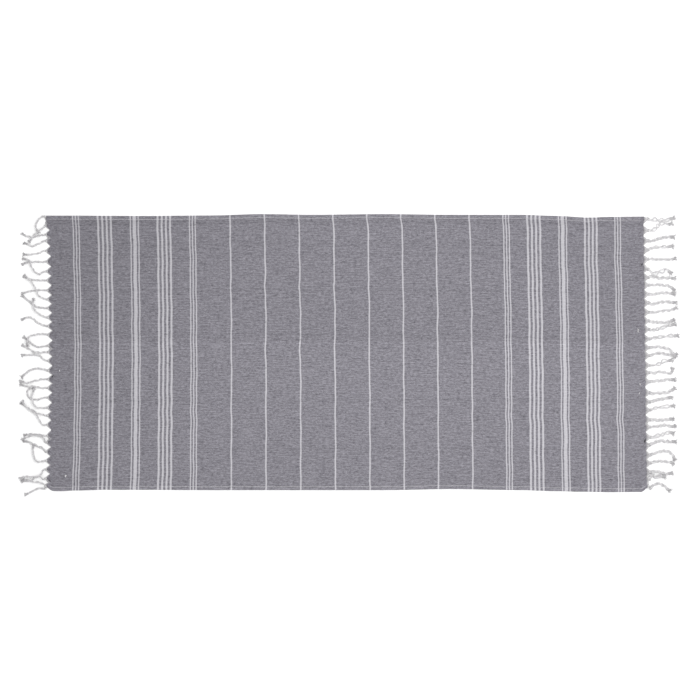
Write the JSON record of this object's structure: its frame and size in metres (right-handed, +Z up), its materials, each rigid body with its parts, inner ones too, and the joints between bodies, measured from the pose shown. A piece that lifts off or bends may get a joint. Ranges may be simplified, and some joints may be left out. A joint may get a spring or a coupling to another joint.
{
  "type": "hammam towel",
  "caption": "Flat-woven hammam towel laid out flat, grey with pale crosswise stripes, stitched side hems and a twisted tassel fringe along each end.",
  "frame": {"origin": "the middle of the cloth's flat underside, on the surface that the towel lies on", "axes": "+X along the towel's length, +Y across it toward the far hem, +Z up out of the surface"},
  "size_m": [1.9127, 0.8175, 0.0101],
  "materials": {
    "grey_cotton": "flat-woven grey melange cotton with pale crosswise stripes, matt",
    "fringe_yarn": "twisted off-white and grey cotton yarn, matt"
  },
  "bodies": {
    "root": {"cloth": "grey_cotton", "fringe_left": "fringe_yarn", "fringe_right": "fringe_yarn"}
  },
  "joints": []
}
